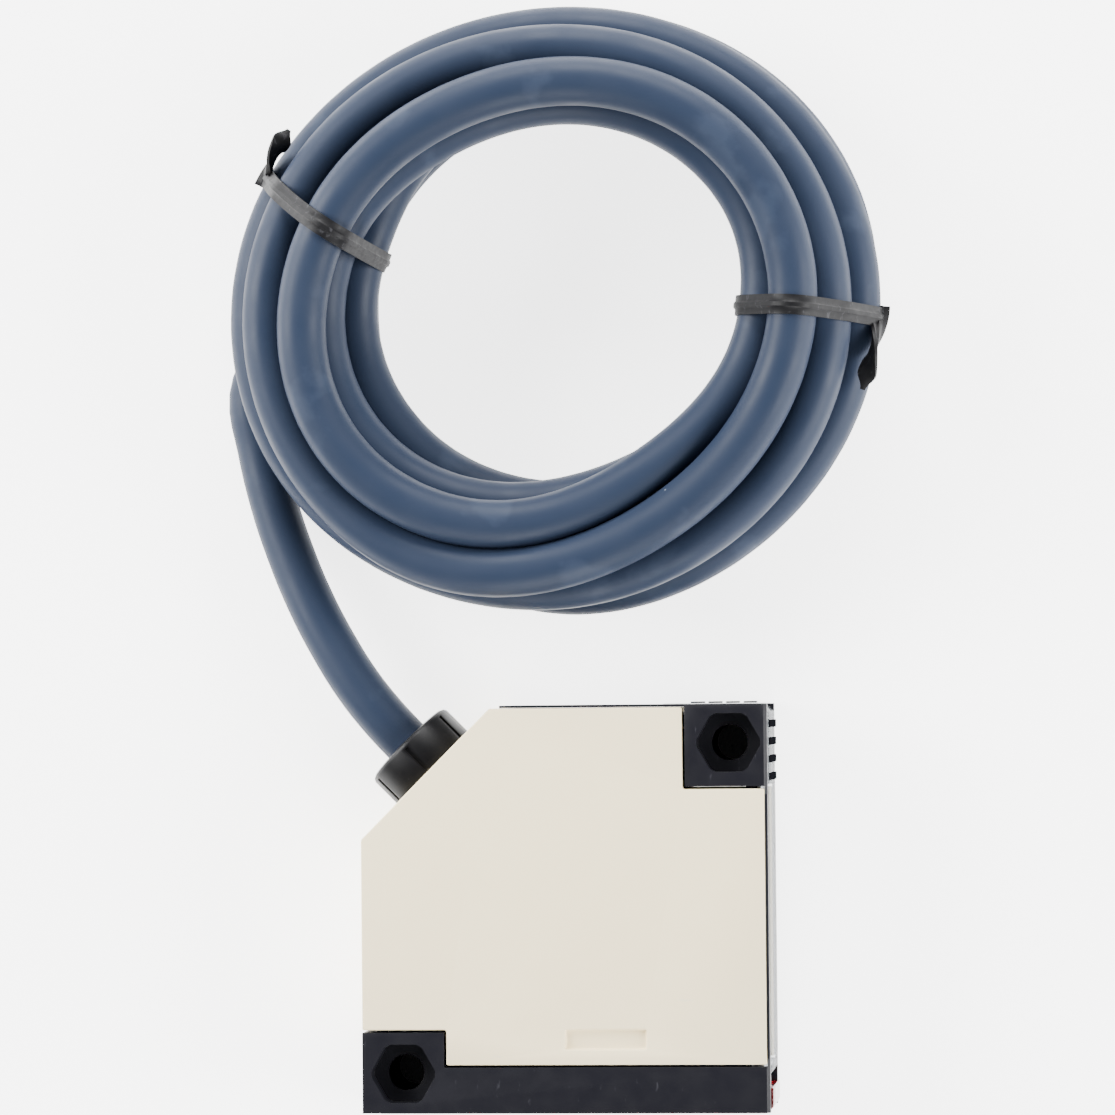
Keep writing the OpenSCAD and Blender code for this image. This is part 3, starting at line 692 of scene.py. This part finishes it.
def paint_inner_cores():
    """Each core of the cable inside the casing gets its own colour."""
    mesh = frame["nodes"]["inner_cores"].data
    dress(frame["nodes"]["inner_cores"], *CORE_PAINTS)
    parent = list(range(len(mesh.vertices)))
    places = {}

    def root(i):
        while parent[i] != i:
            parent[i] = parent[parent[i]]
            i = parent[i]
        return i

    for v in mesh.vertices:
        key = tuple(round(c, 6) for c in v.co)
        parent[root(v.index)] = root(places.setdefault(key, v.index))
    for polygon in mesh.polygons:
        for v in polygon.vertices[1:]:
            parent[root(v)] = root(polygon.vertices[0])
    reach = {}
    for v in mesh.vertices:
        group = root(v.index)
        reach[group] = max(reach.get(group, -1.0), v.co.x)
    order = sorted(reach, key=reach.get)
    for polygon in mesh.polygons:
        polygon.material_index = order.index(root(polygon.vertices[0])) % len(CORE_PAINTS)


paint_inner_cores()


# ---- Print on the panel ---------------------------------------------------

def add_patch(bm, outline, back):
    """A thin raised patch of ink on the panel, from its outline in (y, z)."""
    ink = 0.02
    rings = []
    for x in (back - ink, back + ink):
        rings.append([bm.verts.new(Vector((x, y, z)) * MM) for y, z in outline])
    count = len(outline)
    bm.faces.new(rings[0][::-1])
    bm.faces.new(rings[1])
    for k in range(count):
        n = (k + 1) % count
        bm.faces.new((rings[0][k], rings[0][n], rings[1][n], rings[1][k]))


def arc_outline(y, z, radius, width, start, stop):
    """An arc of ink about a point, in degrees from straight up, clockwise as seen from outside."""
    step = 6
    count = max(3, round(abs(stop - start) / step))
    angles = [math.radians(start + (stop - start) * k / count) for k in range(count + 1)]
    outline = []
    for r, line in ((radius + width / 2, angles), (radius - width / 2, angles[::-1])):
        outline += [(y + r * math.sin(a), z + r * math.cos(a)) for a in line]
    return outline


def bar_outline(y, z, radius, length, width, angle):
    """A tick that points away from a centre, in degrees from straight up."""
    a = math.radians(angle)
    out, side = (math.sin(a), math.cos(a)), (math.cos(a), -math.sin(a))
    ends = ((radius, -0.5), (radius + length, -0.5), (radius + length, 0.5), (radius, 0.5))
    ends = [(r, w * width) for r, w in ends]
    return [(y + out[0] * r + side[0] * w, z + out[1] * r + side[1] * w) for r, w in ends]


def middle_y(node):
    """Middle of a node along the panel, in millimetres."""
    low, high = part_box(node)
    return (low[1] + high[1]) / 2 / MM


def make_panel_print():
    """A scale round the adjuster, two marks for the selector, rings round the indicators."""
    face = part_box("panel_label")[1][0] / MM
    scale_deg, scale_r, scale_w, ticks = 130, 3.75, 0.45, 5
    tick_r, tick_w, long_tick, short_tick = 4.2, 0.22, 0.7, 0.45
    marks_deg, marks_r, marks_w, mark_r, mark_length = 45, 3.0, 0.3, 3.2, 0.9
    ring_r, ring_w, ring_part_deg, led_gap = 1.35, 0.2, 100, 3
    line_pitch, line_w, line_end, first_line, shorter = 0.6, 0.24, 1.9, 1.6, 0.35
    mid = 8.7
    bm = bmesh.new()
    y = middle_y("adjuster_knob")
    add_patch(bm, arc_outline(y, mid, scale_r, scale_w, -scale_deg, scale_deg), face)
    for k in range(2 * ticks + 1):
        length = long_tick if k % ticks == 0 else short_tick
        angle = scale_deg * (k / ticks - 1)
        add_patch(bm, bar_outline(y, mid, tick_r, length, tick_w, angle), face)
    y = middle_y("selector_knob")
    add_patch(bm, arc_outline(y, mid, marks_r, marks_w, -marks_deg, marks_deg), face)
    for angle in (-marks_deg, marks_deg):
        add_patch(bm, bar_outline(y, mid, mark_r, mark_length, marks_w, angle), face)
    y = middle_y("light_guides")
    for z in (mid - led_gap, mid + led_gap):
        for start in (0, 120, 240):
            part = arc_outline(y, z, ring_r, ring_w, start, start + ring_part_deg)
            add_patch(bm, part, face)
        for k in range(3):
            line = (y - line_end, z + line_pitch * (k - 1), 0, shorter * k - first_line)
            add_patch(bm, bar_outline(*line, line_w, 90), face)
    piece = add_object("panel_print", mesh_of(bm, "panel_print"))
    dress(piece, PRINT_WHITE)


make_panel_print()


# ---- Studio ---------------------------------------------------------------

def make_floor():
    """A white floor that glows a little, except under the mounting holes, where it lies in the dark."""
    size, hole, inset = 30.0, 20 * MM, 4.5 * MM  # metres
    lines = (-size, -hole - inset, -hole + inset, hole - inset, hole + inset, size)
    corners = [(x, y, 0) for y in lines for x in lines]
    row, cells = len(lines), len(lines) - 1
    first = [row * j + i for j in range(cells) for i in range(cells)]
    faces = [(k, k + 1, k + row + 1, k + row) for k in first]
    mesh = bpy.data.meshes.new("floor")
    mesh.from_pydata(corners, [], faces)
    floor = bpy.data.objects.new("floor", mesh)
    bpy.context.scene.collection.objects.link(floor)
    for name, glow in (("floor_white", 3.5), ("floor_shaded", 0.0)):
        m = bpy.data.materials.new(name)
        m.use_nodes = True
        shader = m.node_tree.nodes["Principled BSDF"]
        shader.inputs["Base Color"].default_value = (0.9, 0.9, 0.9, 1)
        shader.inputs["Roughness"].default_value = 0.9
        shader.inputs["Emission Color"].default_value = (1, 1, 1, 1)
        shader.inputs["Emission Strength"].default_value = glow
        mesh.materials.append(m)
    for cell in (1, 3):
        mesh.polygons[cells * cell + cell].material_index = 1


LIGHT_SIZE = (0.6, 0.5)  # metres
LIT_POINT = (0, 40, 8)
WORLD_GLOW = 0.12


def make_light(name, place, power):
    """A wide lamp that points at the middle of the object."""
    data = bpy.data.lights.new(name, "AREA")
    data.shape = "RECTANGLE"
    data.size, data.size_y = LIGHT_SIZE
    data.energy = power
    light = bpy.data.objects.new(name, data)
    light.location = Vector(place) * MM
    aim = Vector(LIT_POINT) * MM - light.location
    light.rotation_euler = aim.to_track_quat("-Z", "Y").to_euler()
    bpy.context.scene.collection.objects.link(light)


make_floor()
make_light("key", (-760, 300, 420), 24)
make_light("fill", (820, -60, 400), 20)
make_light("front", (60, -760, 380), 12)
make_light("back", (0, 880, 400), 19)
world = bpy.data.worlds.new("studio")
bpy.context.scene.world = world
world.use_nodes = True
world.node_tree.nodes["Background"].inputs["Color"].default_value = (1, 1, 1, 1)
world.node_tree.nodes["Background"].inputs["Strength"].default_value = WORLD_GLOW

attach(cable, ROOT)
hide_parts("cable_lead", "cable_coil")
dress(cable, PAINTS["cable_jacket"])
